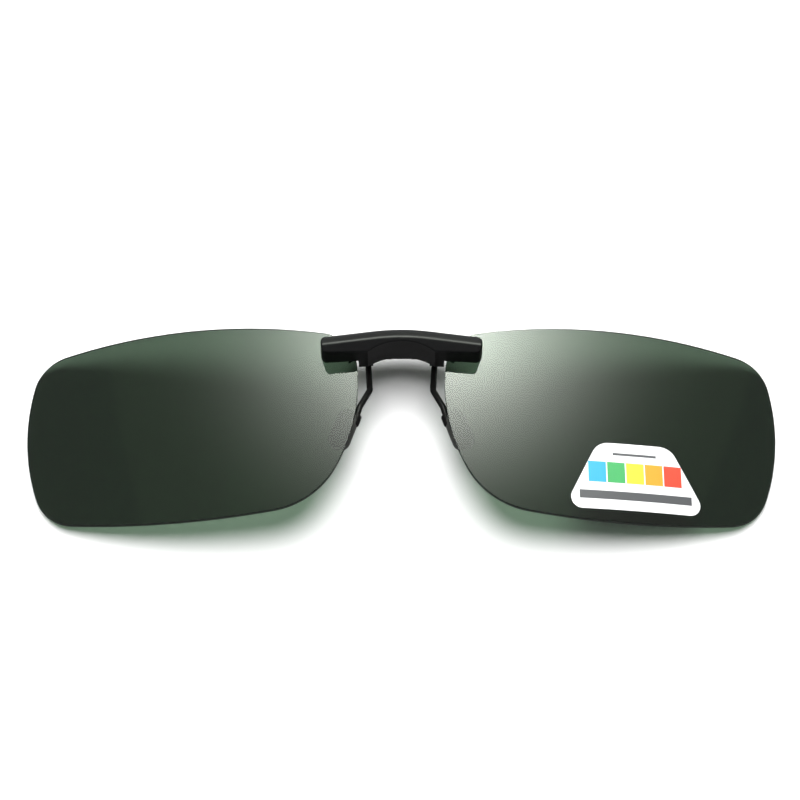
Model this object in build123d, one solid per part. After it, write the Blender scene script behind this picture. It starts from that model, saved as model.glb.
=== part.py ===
from build123d import *
from math import asin, cos, degrees, hypot, radians, sin, sqrt, tan
import os

# Clip-on sunglasses, lying face up on their lens tips. +X is to the right, +Y to the tops of the lenses,
# +Z out of the lens fronts. Millimetres. While it is drawn, the origin is under the middle of the bridge,
# on the resting plane. At the end it all moves along Y, so that the origin is the middle of the underside.

# Driving dimensions
lens_radius = 175.0        # front sphere, shared by both lenses
lens_thickness = 1.0
lens_tip_x = 65.9          # outermost point of a lens
lens_nasal_x = 7.45        # innermost point of a lens
lens_top_y = 15.6
lens_bottom_y = -20.0
bridge_half_width = 13.9
bridge_top_y = 12.5        # top edge of the bridge at its middle
bridge_end_y = 7.6         # lower edge of the bridge at its ends
arch_radius = 38.0
arch_half_width = 5.0      # past this the bridge's upper edge runs straight
ridge_drop = 2.2           # from the upper edge to the ridge along the bridge's front
ridge_z = 18.4
ridge_radius = 0.7
upper_face = ((1.25, 0.75), (2.3, 2.0))     # section points: distance past the ridge and drop below it
lower_face = (6.0, 3.0)    # the same for the plane on the ridge's other side
rim_radius = 0.35
block_half_width = 7.4     # the part of the bridge that stands between the lenses
block_back_z = 11.1
gasket_thickness = 0.3
back_top_y = 14.3          # rear moulding
back_plate_z = 9.4
back_end_z = 10.8
back_half_width = 13.1
back_plate_half_width = 9.2
back_lower_y = 9.1
peg_at = (3.4, 11.2)        # locating pegs of the rear moulding
peg_radius = 0.5
peg_end_z = 12.6
stop_peg_at = (6.7, 10.6)  # stops the lever's feet when the clamp is shut
opening_stop = ((3.2, 4.4), (13.75, 14.05))     # ribs that stop the thumb plate when it is open
opening_stop_z = 7.8
screw_at = (11.8, 10.3)
screw_radius = 0.7
screw_end_z = 14.6
bush_radius = 1.0
washer_radius = 1.3
washer_thickness = 0.25
pivot_y = 12.45
pivot_z = 8.0
pin_radius = 0.6
pin_clearance = 0.02
barrel_radius = 1.15
barrel_half_width = 6.0
ear_radius = 1.05
ear_gap = 0.15
spring_wire = 0.35
spring_mean_radius = 1.0
spring_pitch = 0.4
spring_turns = 6.475       # the front leg leans 9 degrees forward, on to the rear moulding
spring_leg = 1.3
spring_half_space = 1.75   # room for the coil between the two halves of the barrel
plate_top_y = 16.4         # thumb plate of the press lever
plate_bottom_y = 12.2
plate_front_z = 6.8
plate_back_z = 5.5
plate_half_width = 10.5
plate_rim_radius = 0.35
rib_height = 0.35
rib_width = 0.4
rib_pitch = 0.75
foot_x = (4.95, 7.4)
foot_y = (9.85, 11.2)
foot_z = (7.2, 8.8)
stop_peg_radius = 0.45
wire_radius = 0.54
wire_root = (5.85, 10.6, 8.0)      # where the wire turns into the lever's foot
wire_knee = (5.5, 4.27, 9.2)
wire_ankle = (7.25, 0.5, 10.45)
wire_bends = (0.75, 1.3, 2.5)
collar_radius = 0.85
collar_length = 2.3
pad_length = 7.7
pad_width = 3.8
pad_thickness = 2.0
pad_centre = (9.95, -3.9, 10.6)
pad_tilt = 20.0            # degrees, lower end outwards
stem_offset = -1.28        # from the pad's middle line towards the nose
collar_along = 2.43        # from the pad's centre towards its upper end
sticker_thickness = 0.12
sticker_centre = (40.15, -11.95)
sticker_tilt = 0.8

back_radius = lens_radius - lens_thickness
apex_z = lens_thickness + back_radius - sqrt(back_radius ** 2 - lens_tip_x ** 2)
shaft_hole_radius = pin_radius + pin_clearance


# Helpers
def ball(inset):
    """The sphere of the lens fronts, made smaller by an inset."""
    return Pos(0, 0, apex_z - lens_radius) * Sphere(lens_radius - inset)


def shell(outer_inset, inner_inset):
    return ball(outer_inset) - ball(inner_inset)


def prism(sketch, low, high):
    return Pos(0, 0, low) * extrude(sketch, high - low)


def block(x_range, y_range, z_range):
    ranges = (x_range, y_range, z_range)
    centre = [(low + high) / 2 for low, high in ranges]
    return Pos(*centre) * Box(*[high - low for low, high in ranges])


def rod(radius, x_range):
    """A cylinder on the hinge axis."""
    middle = (x_range[0] + x_range[1]) / 2
    return Pos(middle, pivot_y, pivot_z) * Rot(0, 90, 0) * Cylinder(radius, x_range[1] - x_range[0])


def mirrored(shape):
    return mirror(shape, about=Plane.YZ)


def both(shape):
    return shape + mirrored(shape)


def corner(sketch, x, y):
    """The sketch's vertex that is closest to a point."""
    return min(sketch.vertices(), key=lambda v: hypot(v.X - x, v.Y - y))


def rounded(sketch, corners):
    """A sketch with some corners rounded, each given as a point near it and a radius."""
    for x, y, radius in corners:
        sketch = fillet(corner(sketch, x, y), radius)
    return sketch


def arched_edge(top_y, half_width):
    """The right-hand points of the bridge's upper edge: an arc over the nose, then a straight run."""
    arc_end_y = top_y - arch_radius + sqrt(arch_radius ** 2 - arch_half_width ** 2)
    slope = arch_half_width / (arc_end_y - top_y + arch_radius)
    return (arch_half_width, arc_end_y), (half_width, arc_end_y - slope * (half_width - arch_half_width))


def arched_outline(top_y, half_width, lower_points):
    """A closed outline under an arched upper edge. The lower points run from the right end to the left."""
    (arc_x, arc_y), (end_x, end_y) = arched_edge(top_y, half_width)
    top = ThreePointArc((-arc_x, arc_y), (0, top_y), (arc_x, arc_y))
    rest = Polyline((arc_x, arc_y), (end_x, end_y), *lower_points, (-end_x, end_y), (-arc_x, arc_y))
    return make_face([top, *rest.edges()])


# Lenses: four large arcs, rounded corners, and the upper nasal corner cut at a slant under the bridge
def slant_corner(shift=0.0):
    return make_face(Polyline((2, 5 + shift), (20.7, 20 + shift), (2, 20 + shift), close=True))


def lens_outline():
    top = Pos(36.0, lens_top_y - 126.0) * Circle(126.0)
    bottom = Pos(38.5, lens_bottom_y + 123.0) * Circle(123.0)
    outer = Pos(lens_tip_x - 39.0, 0) * Circle(39.0)
    nasal = Pos(lens_nasal_x + 31.5, 3.3) * Circle(31.5) + Pos(60, 0) * Rectangle(50, 60)
    outline = (top & bottom & outer & nasal) - slant_corner()
    corners = ((65, 13, 7.0), (62, -18, 8.5), (13, -18, 14.0), (13.5, 13.6, 1.5), (8, 9.5, 1.5))
    return rounded(outline, corners)


def lens():
    body = prism(lens_outline(), -5, 20) & shell(0, lens_thickness)
    return body - prism(Pos(*screw_at) * Circle(bush_radius), 0, 20)


# Bridge cover: a crowned bar, arched over the nose, with a deeper block between the lenses
def cover_plan():
    ends = ((bridge_half_width, bridge_end_y), (5.8, 7.95))
    arch = ThreePointArc((5.8, 7.95), (0, 9.68), (-5.8, 7.95))
    (arc_x, arc_y), (end_x, end_y) = arched_edge(bridge_top_y, bridge_half_width)
    top = ThreePointArc((-arc_x, arc_y), (0, bridge_top_y), (arc_x, arc_y))
    right = Polyline((arc_x, arc_y), (end_x, end_y), *ends)
    plan = make_face([top, *right.edges(), arch, *mirrored(right).edges()])
    corners = [(side * end_x, y, 1.1) for side in (-1, 1) for y in (end_y, bridge_end_y)]
    return rounded(plan, corners)


def crown():
    """The solid under the bridge's front faces: one profile swept along the ridge."""
    angle = asin(arch_half_width / arch_radius)
    radius = arch_radius - ridge_drop
    centre_y = bridge_top_y - arch_radius
    arc_x = radius * sin(angle)
    arc_y = centre_y + radius * cos(angle)
    end_x = bridge_half_width + 2.0
    end_y = arc_y - tan(angle) * (end_x - arc_x)
    start = Line((-end_x, end_y), (-arc_x, arc_y))
    over = ThreePointArc((-arc_x, arc_y), (0, centre_y + radius), (arc_x, arc_y))
    end = Line((arc_x, arc_y), (end_x, end_y))
    across = Plane(origin=(-end_x, end_y, 0), x_dir=(-sin(angle), cos(angle), 0),
                   z_dir=(cos(angle), sin(angle), 0))
    (middle_u, middle_drop), (top_u, top_drop) = upper_face
    (front_u, front_drop) = lower_face
    upper = ThreePointArc((0, ridge_z), (middle_u, ridge_z - middle_drop), (top_u, ridge_z - top_drop))
    lower = ((top_u + 1, 5), (-front_u, 5), (-front_u, ridge_z - front_drop), (0, ridge_z))
    sides = Polyline((top_u, ridge_z - top_drop), (top_u + 1, ridge_z - top_drop - 2), *lower)
    profile = rounded(make_face([upper, *sides.edges()]), ((0, ridge_z, ridge_radius),))
    return sweep(across * profile, path=Wire([start, over, end]))


def bridge_cover():
    bar = prism(cover_plan(), block_back_z, 20) & crown()
    front = [face for face in bar.faces() if face.normal_at().Z > 0.3]
    rim = [edge for edge in bar.edges() if sum(edge in face.edges() for face in front) == 1]
    bar = fillet(rim, rim_radius)
    bar -= both(block((block_half_width, 20), (0, 20), (0, 20))) & ball(0)
    bar -= both(prism(Pos(*screw_at) * Circle(screw_radius), 12, screw_end_z))
    return bar - both(prism(Pos(*peg_at) * Circle(peg_radius), 11, peg_end_z))


# Rear moulding: clamps the lens corners from behind and carries the hinge ears, pegs and stops
def back_plan():
    ends = ((back_half_width, back_lower_y), (back_plate_half_width, back_lower_y))
    lower = ends + ((7.9, 9.9), (5.2, 9.9), (4.6, 10.2))
    lower += tuple((-x, y) for x, y in reversed(lower))
    plan = arched_outline(back_top_y, back_half_width, lower)
    end_y = arched_edge(back_top_y, back_half_width)[1][1]
    corners = [(side * back_half_width, y, 1.0) for side in (-1, 1) for y in (end_y, back_lower_y)]
    return rounded(plan, corners)


def clamp_plan():
    """Where the rear moulding lies against the lenses: no higher than the cover in front of them."""
    return back_plan() & cover_plan()


def lens_key():
    """Fills the slanted corner beside the lens, so that the lens can't turn about its screw."""
    key = prism(clamp_plan() & slant_corner(shift=0.1), back_end_z, 16) & ball(0)
    return key & block((block_half_width + 0.1, 13), (0, 20), (0, 20))


def ear():
    x_range = (barrel_half_width + ear_gap, block_half_width)
    round_end = rod(ear_radius, x_range)
    stalk = block(x_range, (pivot_y - ear_radius, pivot_y + ear_radius), (pivot_z, back_plate_z + 0.5))
    return round_end + stalk


def bridge_back():
    back_surface = lens_thickness + gasket_thickness
    plate_range = (-back_plate_half_width, back_plate_half_width)
    body = prism(back_plan(), back_plate_z, block_back_z) & block(plate_range, (0, 20), (0, 20))
    body += prism(clamp_plan(), back_end_z, 16) & ball(back_surface)
    body -= block((-block_half_width - 0.1, block_half_width + 0.1), (0, 20), (block_back_z, 20))
    body += both(lens_key())
    body += both(ear() - rod(pin_radius, (0, 10)))
    body += both(prism(Pos(*peg_at) * Circle(peg_radius), back_plate_z, peg_end_z))
    body += both(prism(Pos(*stop_peg_at) * Circle(stop_peg_radius), foot_z[1], back_plate_z + 0.5))
    body += both(block(*opening_stop, (opening_stop_z, back_plate_z + 0.5)))
    return body - both(prism(Pos(*screw_at) * Circle(screw_radius), 10, 14))


def lens_gasket():
    face = lens_outline() & clamp_plan() & Pos(20, 0) * Rectangle(24, 60)
    gasket = prism(face, 5, 20) & shell(lens_thickness, lens_thickness + gasket_thickness)
    return gasket - prism(Pos(*screw_at) * Circle(screw_radius), 0, 20)


# Fasteners of the lenses
def lens_screw():
    top = back_end_z - washer_thickness
    head = prism(Circle(1.1), top - 0.6, top)
    head = fillet(head.edges().group_by(Axis.Z)[0], 0.3)
    slot = block((-0.7, 0.7), (-0.14, 0.14), (top - 0.6, top - 0.25))
    return Pos(*screw_at) * (head + prism(Circle(screw_radius), top, screw_end_z) - slot)


def lens_bush():
    ring = prism(Pos(*screw_at) * (Circle(bush_radius) - Circle(screw_radius)), 0, 20)
    return ring & shell(0, lens_thickness)


def lens_washer():
    ring = Pos(*screw_at) * (Circle(washer_radius) - Circle(screw_radius))
    return prism(ring, back_end_z - washer_thickness, back_end_z)


# Hinge pin and torsion spring
def pivot_pin():
    return chamfer(rod(pin_radius, (-block_half_width, block_half_width)).edges(), 0.12)


def torsion_spring():
    """A close coil on the pin. Its legs push the rear moulding and the thumb plate apart."""
    length = spring_pitch * spring_turns
    centre = Pos(-length / 2, pivot_y, pivot_z) * Rot(0, 90, 0)
    coil = centre * Helix(spring_pitch, length, spring_mean_radius, lefthand=True)
    plate_leg = Line(coil @ 0 - (coil % 0) * spring_leg, coil @ 0)
    back_leg = Line(coil @ 1, coil @ 1 + (coil % 1) * spring_leg)
    section = Plane(origin=plate_leg @ 0, z_dir=plate_leg % 0) * Circle(spring_wire / 2)
    return sweep(section, path=Wire([plate_leg, coil, back_leg]))


# Press lever: thumb plate, hinge barrel in two halves, and a foot that holds each wire
def thumb_plate():
    lower = ((plate_half_width, plate_bottom_y), (-plate_half_width, plate_bottom_y))
    plan = arched_outline(plate_top_y, plate_half_width, lower)
    end_y = arched_edge(plate_top_y, plate_half_width)[1][1]
    corners = [(side * plate_half_width, y, 1.2) for side in (-1, 1) for y in (end_y, plate_bottom_y)]
    plate = prism(rounded(plan, corners), plate_back_z, plate_front_z)
    plate = fillet(plate.edges().filter_by(Axis.Z, reverse=True), plate_rim_radius)
    for row in range(4):
        rib = Pos(0, plate_bottom_y + (row + 1) * rib_pitch) * SlotOverall(17 - 1.2 * row, rib_width)
        plate += prism(rib, plate_back_z - rib_height, plate_back_z)
    return plate


def press_lever():
    barrel_x = (spring_half_space, barrel_half_width)
    half = rod(barrel_radius, barrel_x)
    half += block(barrel_x, (pivot_y - 0.75, pivot_y + 0.85), (plate_back_z + 0.5, pivot_z))
    half += block(foot_x, foot_y, foot_z)
    half += block((foot_x[0], barrel_half_width), (foot_y[0], pivot_y - 0.45), foot_z)
    lever = thumb_plate() + both(half) - rod(shaft_hole_radius, (-10, 10))
    return lever - both(wire_arm())


# Wire arms and pads, right-hand side
def on_pad(shape):
    """Places a shape that is drawn with Y along the pad, X across it and Z through it."""
    slope = degrees(asin(pad_centre[0] / back_radius))
    return Pos(*pad_centre) * Rot(0, slope, 0) * Rot(0, 0, pad_tilt) * shape


def wire_arm():
    hook = (foot_x[1], wire_root[1], wire_root[2])
    collar = on_pad(Pos(stem_offset, collar_along, 0)).position
    points = (hook, wire_root, wire_knee, wire_ankle, tuple(collar))
    path = FilletPolyline(*points, radius=list(wire_bends))
    return sweep(Plane(origin=hook, z_dir=path % 0) * Circle(wire_radius), path=path)


def stem(radius, low, high):
    middle = Pos(stem_offset, (low + high) / 2, 0) * Rot(90, 0, 0)
    return middle * Cylinder(radius, high - low)


def pad_core():
    """A stem along the pad's nose side, with a thin flag that carries the silicone."""
    flag = rounded(Pos(-0.25, -0.5) * Rectangle(2.5, 3.8), ((1, 1.4, 0.7), (1, -2.4, 0.7)))
    return on_pad(stem(0.4, -2.4, collar_along - 0.1) + prism(flag, -0.3, 0.3))


def pad_collar():
    low = collar_along - collar_length / 2
    barrel = stem(collar_radius, low, low + collar_length)
    barrel = on_pad(fillet(barrel.edges(), collar_radius - 0.35))
    return barrel - wire_arm() - pad_core()


def silicone_pad():
    cushion = prism(Rot(0, 0, 90) * SlotOverall(pad_length, pad_width), -pad_thickness / 2, pad_thickness / 2)
    cushion = fillet(cushion.edges().filter_by(Axis.Z, reverse=True), 0.85)
    return on_pad(cushion) - pad_core() - pad_collar() - wire_arm()


# Printed label on the front of the right lens
def lens_sticker():
    corners = ((-12.5, -5.95), (12.5, -5.95), (6.35, 5.95), (-6.35, 5.95))
    rounding = (1.9, 1.9, 3.2, 3.2)
    outline = make_face(Polyline(*corners, close=True))
    outline = rounded(outline, [(x, y, radius) for (x, y), radius in zip(corners, rounding)])
    outline = Pos(*sticker_centre) * Rot(0, 0, sticker_tilt) * outline
    return prism(outline, 0, 20) & shell(-sticker_thickness, 0)


# Assembly: one node for each piece, with pairs of identical fasteners in one node
def as_pair(shape):
    return Compound([*shape.solids(), *mirrored(shape).solids()])


nodes = {
    "bridge_cover": bridge_cover(),
    "bridge_back": bridge_back(),
    "lens_screws": as_pair(lens_screw()),
    "lens_bushes": as_pair(lens_bush()),
    "lens_washers": as_pair(lens_washer()),
    "pivot_pin": pivot_pin(),
    "torsion_spring": torsion_spring(),
    "lens_sticker": lens_sticker(),
    "press_lever": press_lever(),
}
sided = {
    "lens": lens(),
    "lens_gasket": lens_gasket(),
    "wire_arm": wire_arm(),
    "pad_collar": pad_collar(),
    "pad_core": pad_core(),
    "silicone_pad": silicone_pad(),
}
for name, shape in sided.items():
    nodes["right_" + name] = shape
    nodes["left_" + name] = mirrored(shape)

whole = Compound([solid for node in nodes.values() for solid in node.solids()]).bounding_box()
settle = Pos(0, -(whole.min.Y + whole.max.Y) / 2, -whole.min.Z)

os.makedirs("parts", exist_ok=True)
for name, shape in nodes.items():
    placed = settle * shape
    export_step(placed, "parts/" + name + ".step")
    print(name, len(placed.solids()), round(placed.volume, 2), placed.is_valid)

rest_face = settle * Pos(0, 10.2, (back_plate_z + block_back_z) / 2)
hinge = settle * Pos(0, pivot_y, pivot_z)
grip = settle * Pos(*pad_centre)
places = {"hinge axis": hinge, "lower face of the rear moulding": rest_face, "right pad": grip}
for label, place in places.items():
    print(label, [round(v, 3) for v in place.position])
print("whole", whole.size, "moved", settle.position)
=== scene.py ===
import bpy
import bmesh
from functools import partial
from math import asin, atan2, ceil, cos, pi, radians, sin, sqrt, tan
from mathutils import Matrix, Vector


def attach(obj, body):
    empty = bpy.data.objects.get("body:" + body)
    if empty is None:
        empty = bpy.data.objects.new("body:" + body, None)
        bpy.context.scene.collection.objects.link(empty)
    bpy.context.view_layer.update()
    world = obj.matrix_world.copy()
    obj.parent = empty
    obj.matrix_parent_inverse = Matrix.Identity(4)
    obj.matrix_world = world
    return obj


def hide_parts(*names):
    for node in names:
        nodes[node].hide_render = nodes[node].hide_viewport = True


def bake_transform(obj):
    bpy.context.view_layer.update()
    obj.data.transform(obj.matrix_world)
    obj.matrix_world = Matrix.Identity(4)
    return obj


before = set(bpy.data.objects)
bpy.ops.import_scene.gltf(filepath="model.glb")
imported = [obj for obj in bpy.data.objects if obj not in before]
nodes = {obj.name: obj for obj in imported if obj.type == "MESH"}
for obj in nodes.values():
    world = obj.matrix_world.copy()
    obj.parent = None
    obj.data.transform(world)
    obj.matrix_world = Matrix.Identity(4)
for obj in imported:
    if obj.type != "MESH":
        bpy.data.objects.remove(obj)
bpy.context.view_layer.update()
mm = 0.001
rowShift = 1.8                  # pieces are drawn with the bridge over y = 0, then moved this far along y

mathNode = "ShaderNodeMath"
vectorNode = "ShaderNodeVectorMath"
splitNode = "ShaderNodeSeparateXYZ"
joinNode = "ShaderNodeCombineXYZ"
rangeNode = "ShaderNodeMapRange"        # value, from low, from high, to low, to high
mixNode = "ShaderNodeMix"


# Small helpers

def hexColour(code):            # sRGB hex to linear
    channels = [int(code[i:i + 2], 16) / 255 for i in (1, 3, 5)]
    return tuple(c / 12.92 if c <= 0.04045 else ((c + 0.055) / 1.055) ** 2.4 for c in channels) + (1.0,)


def addNode(tree, kind, links=(), **settings):      # an input takes a value, a socket or a list of sockets
    node = tree.nodes.new(kind)
    for name, value in settings.items():
        setattr(node, name, value)
    given = links if isinstance(links, dict) else dict(enumerate(links))
    for name, value in given.items():
        for source in value if isinstance(value, list) else [value]:
            if isinstance(source, bpy.types.NodeSocket):
                tree.links.new(source, node.inputs[name])
            else:
                node.inputs[name].default_value = source
    return node.outputs


def newMaterial(name):
    material = bpy.data.materials.new(name)
    material.use_nodes = True
    material.node_tree.nodes.clear()
    return material, partial(addNode, material.node_tree)


def grain(add, size, detail=2.0, stretch=(1, 1, 1)):    # noise whose lumps are about that many millimetres
    place = add("ShaderNodeTexCoord")["Object"]
    spot = add("ShaderNodeMapping", {"Vector": place, "Scale": stretch})[0]
    return add("ShaderNodeTexNoise", {"Vector": spot, "Scale": 1 / (size * mm), "Detail": detail})[0]


def addObject(name, data):
    piece = bpy.data.objects.new(name, data)
    bpy.context.scene.collection.objects.link(piece)
    return piece


def meshObject(name, points, edges=(), faces=()):
    mesh = bpy.data.meshes.new(name)
    mesh.from_pydata([Vector(p) * mm for p in points], edges, faces)
    return addObject(name, mesh)


def bakeMesh(piece, material):  # the evaluated object as a plain closed mesh, with its faces pointing out
    name = piece.name
    bpy.context.view_layer.update()
    graph = bpy.context.evaluated_depsgraph_get()
    mesh = bpy.data.meshes.new_from_object(piece.evaluated_get(graph), depsgraph=graph)
    bpy.data.objects.remove(piece)
    shape = bmesh.new()
    shape.from_mesh(mesh)
    bmesh.ops.remove_doubles(shape, verts=shape.verts, dist=0.0005 * mm)
    bmesh.ops.recalc_face_normals(shape, faces=shape.faces)
    shape.to_mesh(mesh)
    shape.free()
    mesh.materials.clear()
    mesh.materials.append(material)
    mesh.shade_smooth()
    mesh.set_sharp_from_angle(angle=radians(35))
    return addObject(name, mesh)


def handOver(piece, body, slot, *replaced):
    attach(piece, body)
    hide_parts(*replaced)


# Geometry node trees

def newTree(name, sizes):       # the tree's inputs are named as the sizes are, each of its value's kind
    tree = bpy.data.node_groups.new(name, "GeometryNodeTree")
    tree.interface.new_socket("Geometry", in_out="INPUT", socket_type="NodeSocketGeometry")
    kinds = {float: "NodeSocketFloat", int: "NodeSocketInt", tuple: "NodeSocketVector"}
    for title, value in sizes.items():
        tree.interface.new_socket(title, in_out="INPUT", socket_type=kinds[type(value)])
    tree.interface.new_socket("Material", in_out="INPUT", socket_type="NodeSocketMaterial")
    tree.interface.new_socket("Geometry", in_out="OUTPUT", socket_type="NodeSocketGeometry")
    add = partial(addNode, tree)
    return tree, add, add("NodeGroupInput")


def endTree(add, geometry, given):
    solid = add("GeometryNodeRealizeInstances", (geometry,))[0]
    painted = add("GeometryNodeSetMaterial", {"Geometry": solid, "Material": given["Material"]})[0]
    add("NodeGroupOutput", (painted,))


def runTree(piece, tree, sizes, material):
    modifier = piece.modifiers.new("shape", "NODES")
    modifier.node_group = tree
    for item in tree.interface.items_tree:
        if item.in_out == "INPUT" and item.name in sizes:
            modifier[item.identifier] = sizes[item.name]
        if item.in_out == "INPUT" and item.name == "Material":
            modifier[item.identifier] = material
    return bakeMesh(piece, material)


def wrapGrid(add, around, along):       # an open grid, and how far each vertex is round and along it
    grid = add("GeometryNodeMeshGrid", {"Size X": 1.0, "Size Y": 1.0, "Vertices X": around,
                                        "Vertices Y": along})[0]
    spot = add(vectorNode, (add("GeometryNodeInputPosition")[0], (0.5, 0.5, 0)), operation="ADD")[0]
    share = add(splitNode, (spot,))
    return grid, share["X"], share["Y"]


# Camera, floor and light

view = {"elevation": 67.0, "distance": 450.0, "lens": 114.6, "aim": (-0.24, 6.5, 0.0)}


def makeCamera(s):
    data = bpy.data.cameras.new("camera")
    data.lens = s["lens"]
    data.sensor_width = 36
    data.clip_start = 0.01
    camera = addObject("camera", data)
    tilt = radians(s["elevation"])
    middle = Vector((0, rowShift, 0)) * mm
    camera.location = middle + Vector((0, -cos(tilt), sin(tilt))) * s["distance"] * mm
    aim = Vector(s["aim"]) * mm + middle
    camera.rotation_euler = (aim - camera.location).to_track_quat("-Z", "Y").to_euler()
    bpy.context.scene.camera = camera


studio = {
    "floorHalf": 0.7, "floor": "#f7f7f7", "mirroredFloor": "#707070", "distance": 1.0,
    "keyTilt": 12.5, "keyRadius": 24.0, "keyPower": 21.0,
    "glow": "#f8fff4", "glowLean": (4.6, 37.7), "glowSpread": (13.3, 16.1), "glowFall": 1.56,
    "glowStrength": 25.5, "glowReach": 3.0, "sky": 0.5, "horizon": 0.4, "fill": 0.05, "backdrop": 1.0,
}


def square(name, half, facing):
    corners = [(-half, -half, 0), (half, -half, 0), (half, half, 0), (-half, half, 0)]
    mesh = bpy.data.meshes.new(name)
    mesh.from_pydata(corners, [], [(0, 1, 2, 3) if facing > 0 else (0, 3, 2, 1)])
    return addObject(name, mesh)


def makeFloor(s):       # glossy black parts mirror it much darker than it is, as if it ended nearby
    floor = square("floor", s["floorHalf"], 1)
    floor.location.z = -0.02 * mm
    material, add = newMaterial("whiteTableTop")
    ray = add("ShaderNodeLightPath")
    mirrored = add(mathNode, (ray["Is Glossy Ray"], ray["Is Transmission Ray"]), operation="SUBTRACT",
                   use_clamp=True)[0]
    colour = add(mixNode, {0: mirrored, 6: hexColour(s["floor"]), 7: hexColour(s["mirroredFloor"])},
                 data_type="RGBA")[2]
    shader = add("ShaderNodeBsdfPrincipled", {"Base Color": colour, "Roughness": 0.6,
                                              "Specular IOR Level": 0.2})
    add("ShaderNodeOutputMaterial", {"Surface": shader[0]})
    floor.data.materials.append(material)


def hang(thing, leanX, leanY, distance):        # over the table, leaning that far, and facing its middle
    thing.location = Vector((tan(radians(leanX)), tan(radians(leanY)), 1)).normalized() * distance
    thing.rotation_euler = (-thing.location).to_track_quat("-Z", "Y").to_euler()


def makeKey(s):
    data = bpy.data.lights.new("key", "AREA")
    data.shape = "DISK"
    data.size = 2 * s["distance"] * tan(radians(s["keyRadius"]))
    data.energy = s["keyPower"]
    key = addObject("key", data)
    hang(key, 0, s["keyTilt"], s["distance"])
    key.visible_glossy = False          # what shines in the lenses is the softer glow below


def makeGlow(s):                        # the lit diffuser that the lenses mirror, fading to its edges
    spread = [s["distance"] * tan(radians(angle)) for angle in s["glowSpread"]]
    card = square("glow", spread[1] * s["glowReach"], -1)
    hang(card, *s["glowLean"], s["distance"])
    material, add = newMaterial("litDiffuser")
    place = add("ShaderNodeTexCoord")["Object"]
    far = add(vectorNode, (place, (spread[0], spread[1], 1)), operation="DIVIDE")[0]
    far = add(vectorNode, (far,), operation="LENGTH")["Value"]
    fall = add(mathNode, (far, s["glowFall"]), operation="POWER")[0]
    fall = add(mathNode, (fall, -1.0), operation="MULTIPLY")[0]
    fall = add(mathNode, (fall,), operation="EXPONENT")[0]
    strength = add(mathNode, (fall, s["glowStrength"], s["sky"]), operation="MULTIPLY_ADD")[0]
    glow = add("ShaderNodeEmission", {"Color": hexColour(s["glow"]), "Strength": strength})
    add("ShaderNodeOutputMaterial", {"Surface": glow[0]})
    card.data.materials.append(material)
    card.visible_camera = card.visible_diffuse = card.visible_shadow = card.visible_transmission = False


def makeWorld(s):                       # a pale backdrop, a dim room to mirror, and a little fill
    world = bpy.data.worlds.new("studio")
    bpy.context.scene.world = world
    world.use_nodes = True
    world.node_tree.nodes.clear()
    add = partial(addNode, world.node_tree)
    up = add(splitNode, (add("ShaderNodeTexCoord")["Generated"],))["Z"]
    room = add(rangeNode, (up, 0.05, 0.45, s["horizon"], s["sky"]))[0]
    ray = add("ShaderNodeLightPath")
    mirrored = add(mixNode, {0: ray["Is Glossy Ray"], 2: s["backdrop"], 3: room})[0]
    strength = add(mixNode, {0: ray["Is Diffuse Ray"], 2: mirrored, 3: s["fill"]})[0]
    background = add("ShaderNodeBackground", {"Strength": strength})
    add("ShaderNodeOutputWorld", {"Surface": background[0]})


makeCamera(view)
makeFloor(studio)
makeKey(studio)
makeGlow(studio)
makeWorld(studio)
bpy.context.scene.view_settings.view_transform = "Standard"
print("camera and studio made")


# Materials

# Cellulose triacetate laminate, dyed grey-green, diced and edge-polished: glass-clear to look through,
# but so dark that light which crosses it twice is nearly gone.
lensTint = {"ior": 1.49, "colour": (0.009, 0.16, 0.03, 1.0), "density": 3000.0, "shadow": 0.97}


def triacetateLens(s):
    material, add = newMaterial("triacetatePolished")
    glass = add("ShaderNodeBsdfPrincipled", {
        "Base Color": (1, 1, 1, 1), "Roughness": 0.0, "IOR": s["ior"], "Transmission Weight": 1.0})
    clear = add("ShaderNodeBsdfTransparent", {"Color": (s["shadow"],) * 3 + (1,)})
    isShadow = add("ShaderNodeLightPath")["Is Shadow Ray"]
    surface = add("ShaderNodeMixShader", (isShadow, glass[0], clear[0]))
    volume = add("ShaderNodeVolumeAbsorption", {"Color": s["colour"], "Density": s["density"]})
    add("ShaderNodeOutputMaterial", {"Surface": surface[0], "Volume": volume[0]})
    return material


# The same laminate where it was diced and ground: a fine matt edge that lets next to no light out, nearly
# black.
groundEdge = {"colour": "#161c18", "grit": 0.09}


def triacetateGround(s):
    material, add = newMaterial("triacetateGroundEdge")
    grit = grain(add, s["grit"])
    shader = add("ShaderNodeBsdfPrincipled", {
        "Base Color": hexColour(s["colour"]), "Roughness": add(rangeNode, (grit, 0.35, 0.65, 0.38, 0.5))[0],
        "IOR": 1.49, "Specular IOR Level": 0.3,
        "Normal": add("ShaderNodeBump", {"Height": grit, "Strength": 1.0, "Distance": 0.006 * mm})[0]})
    add("ShaderNodeOutputMaterial", {"Surface": shader[0]})
    return material


# Black nylon 12, injection moulded in a spark-eroded tool: a fine leathery satin, slightly uneven in
# gloss where the melt flowed, with a few paler rubbed specks. The real texture is about 0.05 mm; it is
# drawn twice as coarse to show.
nylon = {"colour": "#050506", "rubbed": "#211f1d", "texture": 0.11, "flow": 4.0, "speck": 0.35}


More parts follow.
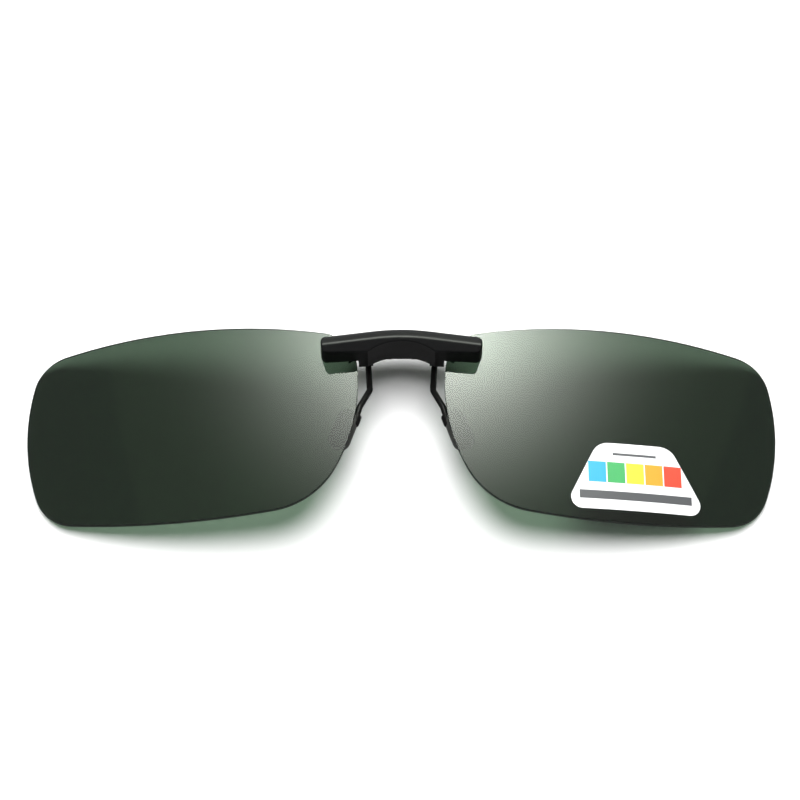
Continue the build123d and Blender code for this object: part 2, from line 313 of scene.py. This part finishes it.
def nylonMoulded(s):
    material, add = newMaterial("nylonMouldedSatin")
    flow = grain(add, s["flow"], 3.0, stretch=(0.35, 1, 1))
    fine = grain(add, s["texture"])
    speck = add(rangeNode, (grain(add, s["speck"], 4.0), 0.62, 0.78, 0.0, 0.35))[0]
    colour = add(mixNode, {0: speck, 6: hexColour(s["colour"]), 7: hexColour(s["rubbed"])},
                 data_type="RGBA")[2]
    waves = add("ShaderNodeBump", {"Height": flow, "Strength": 1.0, "Distance": 0.03 * mm})[0]
    skin = add("ShaderNodeBump", {"Height": fine, "Strength": 1.0, "Distance": 0.012 * mm,
                                  "Normal": waves})[0]
    shader = add("ShaderNodeBsdfPrincipled", {
        "Base Color": colour, "Roughness": add(rangeNode, (flow, 0.35, 0.65, 0.38, 0.46))[0], "IOR": 1.53,
        "Specular IOR Level": 0.24, "Normal": skin})
    add("ShaderNodeOutputMaterial", {"Surface": shader[0]})
    return material


# Spring-steel wire, dipped black: a thin smooth lacquer over drawn wire, with the faint lengthwise lines
# of the die and softer gloss than the nylon.
wireCoat = {"colour": "#070708", "thin": "#171614", "lumps": 0.6, "lines": 0.08}


def wireLacquered(s):
    material, add = newMaterial("springWireLacquered")
    lumps = grain(add, s["lumps"])
    lines = grain(add, s["lines"], 1.0, stretch=(1, 0.08, 1))
    thin = add(rangeNode, (lumps, 0.35, 0.65, 0.0, 0.5))[0]
    colour = add(mixNode, {0: thin, 6: hexColour(s["colour"]), 7: hexColour(s["thin"])}, data_type="RGBA")[2]
    uneven = add("ShaderNodeBump", {"Height": lumps, "Strength": 1.0, "Distance": 0.015 * mm})[0]
    drawn = add("ShaderNodeBump", {"Height": lines, "Strength": 1.0, "Distance": 0.004 * mm,
                                   "Normal": uneven})[0]
    shader = add("ShaderNodeBsdfPrincipled", {
        "Base Color": colour, "Roughness": add(rangeNode, (lumps, 0.35, 0.65, 0.34, 0.42))[0],
        "Specular IOR Level": 0.18, "Normal": drawn})
    add("ShaderNodeOutputMaterial", {"Surface": shader[0]})
    return material


# Bright metals: nickel-plated free-cutting steel for the screws and the pin, with fine turning marks
# round the axis, and bare drawn spring steel, greyer and streaked along the wire.
metals = {
    "nickel": {"name": "steelNickelPlated", "colour": "#c8c2b6", "low": 0.16, "high": 0.28, "marks": 0.06,
               "stretch": (1, 1, 0.2)},
    "spring": {"name": "springSteelDrawn", "colour": "#8d8a86", "low": 0.26, "high": 0.4, "marks": 0.09,
               "stretch": (0.2, 1, 1)},
}


def brightMetal(s):
    material, add = newMaterial(s["name"])
    marks = grain(add, s["marks"], stretch=s["stretch"])
    shader = add("ShaderNodeBsdfPrincipled", {
        "Base Color": hexColour(s["colour"]), "Metallic": 1.0,
        "Roughness": add(rangeNode, (marks, 0.35, 0.65, s["low"], s["high"]))[0],
        "Normal": add("ShaderNodeBump", {"Height": marks, "Strength": 1.0, "Distance": 0.003 * mm})[0]})
    add("ShaderNodeOutputMaterial", {"Surface": shader[0]})
    return material


# Natural nylon of the washers, bushes and gaskets: milky, waxy and a little see-through.
naturalNylon = {"colour": "#dcdcd2", "cloud": "#cfd0c4", "texture": 0.5}


def nylonNatural(s):
    material, add = newMaterial("nylonNaturalMoulded")
    cloud = grain(add, s["texture"])
    shader = add("ShaderNodeBsdfPrincipled", {
        "Base Color": add(mixNode, {0: cloud, 6: hexColour(s["colour"]), 7: hexColour(s["cloud"])},
                          data_type="RGBA")[2],
        "Roughness": 0.4, "IOR": 1.53, "Subsurface Weight": 0.5, "Subsurface Radius": (1, 1, 0.9),
        "Subsurface Scale": 0.3 * mm,
        "Normal": add("ShaderNodeBump", {"Height": cloud, "Strength": 1.0, "Distance": 0.01 * mm})[0]})
    add("ShaderNodeOutputMaterial", {"Surface": shader[0]})
    return material


# Smoke-grey silicone rubber of the nose pads, moulded in a blasted tool: cloudy inside, dull and slightly
# tacky outside, so that its edges glow faintly.
silicone = {"colour": "#454643", "ior": 1.41, "texture": 0.14, "mist": 1.2, "clear": 0.4}


def siliconeMoulded(s):
    material, add = newMaterial("siliconeMouldedMatt")
    mist = grain(add, s["mist"])
    fine = grain(add, s["texture"], 1.0)
    shader = add("ShaderNodeBsdfPrincipled", {
        "Base Color": hexColour(s["colour"]), "Roughness": add(rangeNode, (mist, 0.35, 0.65, 0.34, 0.46))[0],
        "IOR": s["ior"], "Transmission Weight": s["clear"], "Subsurface Weight": 0.4,
        "Subsurface Radius": (1, 1, 1), "Subsurface Scale": 0.8 * mm,
        "Normal": add("ShaderNodeBump", {"Height": fine, "Strength": 1.0, "Distance": 0.008 * mm})[0]})
    add("ShaderNodeOutputMaterial", {"Surface": shader[0]})
    return material


# Vinyl label, screen printed and die cut: white film with flat inks of slightly uneven cover under a
# clear gloss.
label = {
    "centre": (40.15, -11.95), "tilt": 0.8, "film": "#f3f4f5", "ink": "#4a4b4e",
    "bars": ("#2f9fc4", "#3f9d5a", "#e9d23c", "#ef9a2e", "#dc4631"), "barWidth": 3.1, "barPitch": 3.3,
    "barRange": (-1.2, 2.5), "thinLine": (3.75, 4.2, 3.8), "thickLine": (-4.2, -2.7, 9.8),
    "cover": 0.3,
}


def printedBox(add, spot, xRange, yRange):      # 1 inside a box in millimetres, edges sharp as in printing
    sharpness = 0.03
    masks = []
    for value, (low, high) in zip(spot, (xRange, yRange)):
        away = add(mathNode, (value, (low + high) / 2), operation="SUBTRACT")[0]
        away = add(mathNode, (away,), operation="ABSOLUTE")[0]
        half = (high - low) / 2
        masks.append(add(rangeNode, (away, half + sharpness, half - sharpness))[0])
    return add(mathNode, masks, operation="MULTIPLY")[0]


def vinylLabel(s):
    material, add = newMaterial("vinylPrintedGloss")
    centre = Vector((s["centre"][0], s["centre"][1] + rowShift, 0)) * mm
    place = add("ShaderNodeTexCoord")["Object"]
    seat = add("ShaderNodeMapping", {"Vector": place, "Location": centre,
                                     "Rotation": (0, 0, radians(s["tilt"]))}, vector_type="TEXTURE")[0]
    spot = add(splitNode, (add(vectorNode, {0: seat, "Scale": 1 / mm}, operation="SCALE")[0],))
    width = s["barWidth"]
    first = -s["barPitch"] * (len(s["bars"]) - 1) / 2 - width / 2
    inks = [((first + i * s["barPitch"], first + i * s["barPitch"] + width), s["barRange"], code)
            for i, code in enumerate(s["bars"])]
    inks += [((-half, half), (low, high), s["ink"]) for low, high, half in (s["thinLine"], s["thickLine"])]
    colour = hexColour(s["film"])
    for xRange, yRange, code in inks:
        mask = printedBox(add, (spot["X"], spot["Y"]), xRange, yRange)
        colour = add(mixNode, {0: mask, 6: colour, 7: hexColour(code)}, data_type="RGBA")[2]
    cover = grain(add, s["cover"])
    shader = add("ShaderNodeBsdfPrincipled", {
        "Base Color": colour, "Roughness": add(rangeNode, (cover, 0.35, 0.65, 0.3, 0.36))[0],
        "Coat Weight": 0.6, "Coat Roughness": 0.12,
        "Normal": add("ShaderNodeBump", {"Height": cover, "Strength": 1.0, "Distance": 0.004 * mm})[0]})
    add("ShaderNodeOutputMaterial", {"Surface": shader[0]})
    return material


lensMaterial = triacetateLens(lensTint)
lensEdge = triacetateGround(groundEdge)
blackNylon = nylonMoulded(nylon)
blackWire = wireLacquered(wireCoat)
nickel = brightMetal(metals["nickel"])
springSteel = brightMetal(metals["spring"])
clearNylon = nylonNatural(naturalNylon)
padSilicone = siliconeMoulded(silicone)
finishes = {
    blackNylon: ("bridge_cover", "bridge_back", "press_lever", "left_pad_core", "right_pad_core"),
    blackWire: ("left_wire_arm", "right_wire_arm", "left_pad_collar", "right_pad_collar"),
    nickel: ("pivot_pin",),
    clearNylon: ("lens_bushes", "lens_washers", "left_lens_gasket", "right_lens_gasket"),
    vinylLabel(label): ("lens_sticker",),
}
for material, names in finishes.items():
    for name in names:
        nodes[name].data.materials.clear()
        nodes[name].data.materials.append(material)
print("materials made")


# Lenses: four large arcs and a slanted corner, meeting in rounded corners, bent to a sphere

lens = {
    # each side's centre and radius, clockwise from the top; the last is the straight slant under the bridge
    "sides": ((36.0, -110.4, 126.0), (26.9, 0.0, 39.0), (38.5, 103.0, 123.0), (38.95, 3.3, 31.5)),
    "slant": ((2.0, 5.0), (20.7, 20.0)), "straight": 5000.0,
    "corners": (7.0, 8.5, 14.0, 1.5, 1.5),      # between each side and the next
    "centre": (38.0, -2.0), "screw": (11.8, 10.3), "pointStep": 0.25, "edgeSlope": 0.5,
    "sizes": {"Front Radius": 175.0 * mm, "Thickness": 1.0 * mm, "Edge Round": 0.13 * mm, "Rim": 0.2,
              "Around": 521, "Across": 40, "Hole Radius": 1.0 * mm},
}


def roundedSides(s):            # the outline as arcs: centre, radius and the two end points of each
    low, high = (Vector(p) for p in s["slant"])
    along = (high - low).normalized()
    middle = (low + high) / 2 + Vector((along.y, -along.x)) * s["straight"]
    circles = [(Vector((x, y)), r) for x, y, r in s["sides"]] + [(middle, s["straight"])]
    balls = []
    for index, size in enumerate(s["corners"]):
        (centreA, radiusA), (centreB, radiusB) = circles[index], circles[(index + 1) % len(circles)]
        reachA, reachB = radiusA - size, radiusB - size         # a ball that rolls inside both sides
        gap = centreB - centreA
        step = (reachA ** 2 - reachB ** 2 + gap.length ** 2) / (2 * gap.length)
        side = sqrt(reachA ** 2 - step ** 2)
        across = Vector((-gap.y, gap.x)).normalized()
        spots = [centreA + gap.normalized() * step + across * way * side for way in (1, -1)]
        balls.append(min(spots, key=lambda p: (p - centreA).cross(p - centreB)))
    arcs = []
    for index, (centre, radius) in enumerate(circles):
        before, after = balls[index - 1], balls[index]
        start, end = (centre + (ball - centre).normalized() * radius for ball in (before, after))
        nextCentre, nextRadius = circles[(index + 1) % len(circles)]
        leave = nextCentre + (after - nextCentre).normalized() * nextRadius
        arcs += [(centre, radius, start, end), (after, s["corners"][index], end, leave)]
    return arcs


def arcPoints(pointStep, centre, radius, start, end):   # clockwise
    first, last = (atan2(p.y - centre.y, p.x - centre.x) for p in (start, end))
    turn = (first - last) % (2 * pi)
    count = max(6, ceil(turn * radius / pointStep))
    angles = [first - turn * step / count for step in range(count)]
    return [(centre.x + radius * cos(a), centre.y + radius * sin(a), 0) for a in angles]


def lensTree(s):        # a grid wrapped round the outline, from the middle of the back to that of the front
    sizes = dict(s["sizes"], Centre=(0.0, 0.0, 0.0), Screw=(0.0, 0.0, 0.0), Sphere=(0.0, 0.0, 0.0))
    tree, add, given = newTree("lensBlank", sizes)
    outline = add("GeometryNodeMeshToCurve", {"Mesh": given["Geometry"]})[0]
    grid, around, across = wrapGrid(add, given["Around"], given["Across"])

    # the rim takes up the middle of the way across, and turns from straight back to straight forward
    rimStart = add(mathNode, (given["Rim"], -0.5, 0.5), operation="MULTIPLY_ADD")[0]
    rimEnd = add(mathNode, (given["Rim"], 0.5, 0.5), operation="MULTIPLY_ADD")[0]
    nearer = add(mathNode, (across, 0.5), operation="PINGPONG")[0]
    reach = add(rangeNode, (nearer, 0.0, rimStart, 0.0, 1.0))[0]
    turn = add(rangeNode, (across, rimStart, rimEnd, -pi / 2, pi / 2))[0]

    # a rounded square section: how deep each vertex lies in the thickness, and how far in from the outline
    rise = add(mathNode, (turn,), operation="SINE")[0]
    side = add(mathNode, (rise,), operation="SIGN")[0]
    rise = add(mathNode, (rise,), operation="ABSOLUTE")[0]
    rise = add(mathNode, (rise, 0.5), operation="POWER")[0]
    rise = add(mathNode, (rise, side), operation="MULTIPLY")[0]
    depth = add(mathNode, (rise, -0.5, 0.5), operation="MULTIPLY_ADD")[0]
    bulge = add(mathNode, (turn,), operation="COSINE")[0]
    bulge = add(mathNode, (bulge, 0.0), operation="MAXIMUM")[0]
    bulge = add(mathNode, (bulge, 0.5), operation="POWER")[0]
    inset = add(mathNode, (1.0, bulge), operation="SUBTRACT")[0]
    inset = add(mathNode, (inset, given["Edge Round"]), operation="MULTIPLY")[0]

    # its place in plan, on the line from the middle of the lens to the outline
    edge = add("GeometryNodeSampleCurve", {"Curves": outline, "Factor": around}, mode="FACTOR",
               use_all_curves=True)["Position"]
    spoke = add(vectorNode, (edge, given["Centre"]), operation="SUBTRACT")[0]
    length = add(vectorNode, (spoke,), operation="LENGTH")["Value"]
    share = add(mathNode, (inset, length), operation="DIVIDE")[0]
    share = add(mathNode, (1.0, share), operation="SUBTRACT")[0]
    share = add(mathNode, (reach, share), operation="MULTIPLY")[0]
    plan = add(vectorNode, (spoke, share, given["Centre"]), operation="MULTIPLY_ADD")[0]

    # its height, on a sphere that is smaller the deeper it lies
    radius = add(mathNode, (depth, given["Thickness"]), operation="MULTIPLY")[0]
    radius = add(mathNode, (given["Front Radius"], radius), operation="SUBTRACT")[0]
    off = add(vectorNode, (plan, given["Sphere"]), operation="SUBTRACT")[0]
    off = add(vectorNode, (off, (1, 1, 0)), operation="MULTIPLY")[0]
    under = add(vectorNode, (off, off), operation="DOT_PRODUCT")["Value"]
    height = add(mathNode, (radius, radius), operation="MULTIPLY")[0]
    height = add(mathNode, (height, under), operation="SUBTRACT")[0]
    height = add(mathNode, (height,), operation="SQRT")[0]
    spot = add(vectorNode, (off, add(joinNode, {"Z": height})[0]), operation="ADD")[0]
    spot = add(vectorNode, (spot, given["Sphere"]), operation="ADD")[0]

    blank = add("GeometryNodeSetPosition", {"Geometry": grid, "Position": spot})[0]
    blank = add("GeometryNodeMergeByDistance", {"Geometry": blank, "Distance": 0.001 * mm})[0]
    drill = add("GeometryNodeMeshCylinder", {"Vertices": 40, "Radius": given["Hole Radius"],
                                             "Depth": 40 * mm})
    drill = add("GeometryNodeTransform", {"Geometry": drill["Mesh"], "Translation": given["Screw"]})[0]
    drilled = add("GeometryNodeMeshBoolean", {"Mesh 1": blank, "Mesh 2": drill}, operation="DIFFERENCE",
                  solver="EXACT")[0]
    endTree(add, drilled, given)
    return tree


def makeLenses(s):
    outline = [p for arc in roundedSides(s) for p in arcPoints(s["pointStep"], *arc)]
    tree = lensTree(s)
    tip = max(x for x, y, z in outline) * mm
    back = s["sizes"]["Front Radius"] - s["sizes"]["Thickness"]
    sphereZ = -sqrt(back ** 2 - tip ** 2)       # the backs of the tips rest on the table
    for name, way in (("right", 1), ("left", -1)):
        points = [(way * x, y + rowShift, 0) for x, y, z in outline]
        edges = [(i, (i + 1) % len(points)) for i in range(len(points))]
        blank = meshObject(name + "_lens_polished", points, edges)
        sizes = dict(s["sizes"], Sphere=(0.0, rowShift * mm, sphereZ))
        for place, (x, y) in (("Centre", s["centre"]), ("Screw", s["screw"])):
            sizes[place] = (way * x * mm, (y + rowShift) * mm, 0.0)
        piece = runTree(blank, tree, sizes, lensMaterial)
        piece.data.materials.append(lensEdge)
        for face in piece.data.polygons:
            face.material_index = int(abs(face.normal.z) < s["edgeSlope"])      # the cut edge and the hole
        handOver(piece, "bridge", "green_lens", name + "_lens")


makeLenses(lens)
print("lenses made")


# Silicone pads: a stadium with a full round edge and a shallow dish in the face that grips

pad = {
    "length": 7.7, "width": 3.8, "thickness": 2.0, "edge": 0.85, "centre": (9.95, -3.9, 10.6),
    "tilt": 20.0, "dish": 0.14, "dishHalf": 1.2, "ends": 20, "sides": 8, "parting": 0.03,
    "insets": (0, 0.04, 0.14, 0.3, 0.5, 0.68, 0.85, 1.1, 1.4, 1.65, 1.9),
}


def padSeat(s):         # drawn with Y along the pad, then turned in its own plane and to the lens's slope
    back = (lens["sizes"]["Front Radius"] - lens["sizes"]["Thickness"]) / mm
    slope = asin(s["centre"][0] / back)
    middle = Vector(s["centre"]) + Vector((0, rowShift, 0))
    turn = Matrix.Rotation(slope, 4, "Y") @ Matrix.Rotation(radians(s["tilt"]), 4, "Z")
    return Matrix.Translation(middle) @ turn


def padRing(s, inset):          # points round the stadium, that far in from its edge
    radius = s["width"] / 2 - inset
    reach = (s["length"] - s["width"]) / 2
    ring = []
    for way in (1, -1):
        for step in range(s["ends"]):
            angle = pi * step / s["ends"]
            ring.append((way * radius * cos(angle), way * (reach + radius * sin(angle))))
        for step in range(s["sides"]):
            ring.append((-way * radius, way * reach * (1 - 2 * step / s["sides"])))
    return ring


def padHeight(s, inset):
    flat = s["thickness"] / 2 - s["edge"]
    share = max(0.0, 1 - inset / s["edge"])
    return flat + s["edge"] * sqrt(1 - share ** 2)


def padDish(s, inset):
    return s["dish"] * max(0.0, 1 - (s["width"] / 2 - inset) ** 2 / s["dishHalf"] ** 2)


def makePad(s, name, way):
    seat = padSeat(s)
    heights = [(inset, -padHeight(s, inset)) for inset in reversed(s["insets"])]
    heights += [(s["parting"], 0.0)]
    heights += [(inset, padHeight(s, inset) - padDish(s, inset)) for inset in s["insets"]]
    rings = [[seat @ Vector((x, y, height)) for x, y in padRing(s, inset)] for inset, height in heights]
    points = [(way * p.x, p.y, p.z) for ring in rings for p in ring]
    around = len(rings[0])
    faces = []
    for row in range(len(rings) - 1):
        for step in range(around):
            here, after = row * around + step, row * around + (step + 1) % around
            faces.append((here, after, after + around, here + around))
    return meshObject(name, points, faces=faces)


for name, way in (("right", 1), ("left", -1)):
    cushion = bakeMesh(makePad(pad, name + "_pad_cushion", way), padSilicone)
    handOver(cushion, "clamp", "silicone", name + "_silicone_pad")
print("pads made")


# Torsion spring: a close left-hand coil between two straight legs

spring = {
    "axis": (14.25, 8.0), "sides": 12,
    "sizes": {"Wire Radius": 0.175 * mm, "Coil Radius": 1.0 * mm, "Pitch": 0.4 * mm, "Turns": 6.475,
              "Leg": 1.3 * mm, "Steps": 260},
}


def springTree(s):
    tree, add, given = newTree("torsionSpring", dict(s["sizes"], Axis=(0.0, 0.0, 0.0)))
    line = add("GeometryNodeCurvePrimitiveLine", {"Start": (0, 0, 0), "End": (1, 0, 0)})[0]
    line = add("GeometryNodeResampleCurve", {"Curve": line, "Count": given["Steps"]})[0]
    far = add(splitNode, (add("GeometryNodeInputPosition")[0],))["X"]

    # the length of wire in one turn and in the whole coil
    girth = add(mathNode, (given["Coil Radius"], 2 * pi), operation="MULTIPLY")[0]
    slope = add(mathNode, (given["Pitch"], girth), operation="DIVIDE")[0]
    stretch = add(mathNode, (slope, slope, 1.0), operation="MULTIPLY_ADD")[0]
    stretch = add(mathNode, (stretch,), operation="SQRT")[0]
    turnLength = add(mathNode, (girth, stretch), operation="MULTIPLY")[0]
    coil = add(mathNode, (turnLength, given["Turns"]), operation="MULTIPLY")[0]
    whole = add(mathNode, (given["Leg"], 2.0, coil), operation="MULTIPLY_ADD")[0]

    # how far along the coil each point is, and how far along a leg, before or after it
    run = add(mathNode, (far, whole), operation="MULTIPLY")[0]
    run = add(mathNode, (run, given["Leg"]), operation="SUBTRACT")[0]
    onCoil = add(mathNode, (run, 0.0), operation="MAXIMUM")[0]
    onCoil = add(mathNode, (onCoil, coil), operation="MINIMUM")[0]
    past = add(mathNode, (run, onCoil), operation="SUBTRACT")[0]
    past = add(mathNode, (past, stretch), operation="DIVIDE")[0]
    turns = add(mathNode, (onCoil, turnLength), operation="DIVIDE")[0]

    # the point with its leg at the bottom of the coil, then turned about the axis and moved along it
    bottom = add(mathNode, (given["Coil Radius"], -1.0), operation="MULTIPLY")[0]
    bottom = add(joinNode, {"Z": bottom})[0]
    leg = add(joinNode, {"X": slope, "Y": -1.0})[0]
    leg = add(vectorNode, {0: leg, "Scale": past}, operation="SCALE")[0]
    spot = add(vectorNode, (bottom, leg), operation="ADD")[0]
    angle = add(mathNode, (turns, -2 * pi), operation="MULTIPLY")[0]
    spot = add("ShaderNodeVectorRotate", {"Vector": spot, "Angle": angle}, rotation_type="X_AXIS")[0]
    middle = add(mathNode, (given["Turns"], 0.5), operation="MULTIPLY")[0]
    x = add(mathNode, (turns, middle), operation="SUBTRACT")[0]
    x = add(mathNode, (x, given["Pitch"]), operation="MULTIPLY")[0]
    spot = add(vectorNode, (spot, add(joinNode, {"X": x})[0]), operation="ADD")[0]
    spot = add(vectorNode, (spot, given["Axis"]), operation="ADD")[0]

    path = add("GeometryNodeSetPosition", {"Geometry": line, "Position": spot})[0]
    section = add("GeometryNodeCurvePrimitiveCircle", {"Resolution": s["sides"],
                                                       "Radius": given["Wire Radius"]})[0]
    wire = add("GeometryNodeCurveToMesh", {"Curve": path, "Profile Curve": section, "Fill Caps": True})[0]
    endTree(add, wire, given)
    return tree


def makeSpring(s):
    sizes = dict(s["sizes"], Axis=(0.0, s["axis"][0] * mm, s["axis"][1] * mm))
    coil = runTree(meshObject("torsion_spring_wound", []), springTree(s), sizes, springSteel)
    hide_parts("torsion_spring")
    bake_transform(coil)


makeSpring(spring)
print("spring made")


# Lens screws: pan head with a cross recess, and a coarse thread that cuts its own way into the cover

screw = {
    "at": (11.8, 10.3), "recessTurn": 36.0, "threadFrom": 0.6,      # share of the shank's radius
    "profile": ((0, 9.95), (0.6, 9.95), (0.9, 10.0), (1.05, 10.12), (1.1, 10.3), (1.1, 10.55),
                (0.7, 10.55), (0.7, 14.3), (0.45, 14.6), (0, 14.6)),
    "sizes": {"Around": 49, "Along": 170, "Thread Pitch": 0.45 * mm, "Thread Depth": 0.12 * mm,
              "Thread Start": 11.9 * mm, "Shank Radius": 0.7 * mm, "Recess Width": 0.22 * mm,
              "Recess Length": 1.3 * mm, "Recess Depth": 0.4 * mm},
}


def screwTree(s):
    tree, add, given = newTree("panHeadScrew", dict(s["sizes"], Head=(0.0, 0.0, 0.0)))
    outline = add("GeometryNodeMeshToCurve", {"Mesh": given["Geometry"]})[0]
    grid, around, along = wrapGrid(add, given["Around"], given["Along"])
    spot = add("GeometryNodeSampleCurve", {"Curves": outline, "Factor": along}, mode="FACTOR",
               use_all_curves=True)["Position"]
    spot = add(splitNode, (spot,))

    # a thread of triangular section, cut into the shank past its start
    turn = add(mathNode, (spot["Z"], given["Thread Pitch"]), operation="DIVIDE")[0]
    turn = add(mathNode, (turn, around), operation="ADD")[0]
    tooth = add(mathNode, (turn, 0.5), operation="PINGPONG")[0]
    tooth = add(mathNode, (tooth, 2.0), operation="MULTIPLY")[0]
    core = add(mathNode, (given["Shank Radius"], s["threadFrom"]), operation="MULTIPLY")[0]
    pastStart = add(mathNode, (spot["Z"], given["Thread Start"]), operation="GREATER_THAN")[0]
    onSide = add(mathNode, (spot["X"], core), operation="GREATER_THAN")[0]
    cut = add(mathNode, (tooth, given["Thread Depth"]), operation="MULTIPLY")[0]
    cut = add(mathNode, (cut, pastStart), operation="MULTIPLY")[0]
    cut = add(mathNode, (cut, onSide), operation="MULTIPLY")[0]
    radius = add(mathNode, (spot["X"], cut), operation="SUBTRACT")[0]
    angle = add(mathNode, (around, 2 * pi), operation="MULTIPLY")[0]
    place = add("ShaderNodeVectorRotate", {"Vector": add(joinNode, {"X": radius, "Z": spot["Z"]})[0],
                                           "Angle": angle}, rotation_type="Z_AXIS")[0]
    body = add("GeometryNodeSetPosition", {"Geometry": grid, "Position": place})[0]
    body = add("GeometryNodeMergeByDistance", {"Geometry": body, "Distance": 0.001 * mm})[0]

    twice = add(mathNode, (given["Recess Depth"], 2.0), operation="MULTIPLY")[0]     # half is past the head
    bars = []
    for x, y in (("Recess Length", "Recess Width"), ("Recess Width", "Recess Length")):
        size = add(joinNode, (given[x], given[y], twice))[0]
        bar = add("GeometryNodeMeshCube", {"Size": size})[0]
        bars.append(add("GeometryNodeTransform", {"Geometry": bar, "Translation": given["Head"],
                                                  "Rotation": (0, 0, radians(s["recessTurn"]))})[0])
    cross = add("GeometryNodeMeshBoolean", {"Mesh 2": bars}, operation="UNION", solver="EXACT")[0]
    body = add("GeometryNodeMeshBoolean", {"Mesh 1": body, "Mesh 2": cross}, operation="DIFFERENCE",
               solver="EXACT")[0]
    x, y = s["at"][0] * mm, (s["at"][1] + rowShift) * mm
    spots = add("GeometryNodeMeshLine", {"Count": 2, "Start Location": (x, y, 0),
                                         "Offset": (-2 * x, 0, 0)})[0]
    both = add("GeometryNodeInstanceOnPoints", {"Points": spots, "Instance": body})[0]
    endTree(add, both, given)
    return tree


def makeScrews(s):
    points = [(r, 0, z) for r, z in s["profile"]]
    blank = meshObject("lens_screws_threaded", points, [(i, i + 1) for i in range(len(points) - 1)])
    sizes = dict(s["sizes"], Head=(0.0, 0.0, s["profile"][0][1] * mm))
    handOver(runTree(blank, screwTree(s), sizes, nickel), "bridge", "plated_steel", "lens_screws")


makeScrews(screw)
print("screws made")
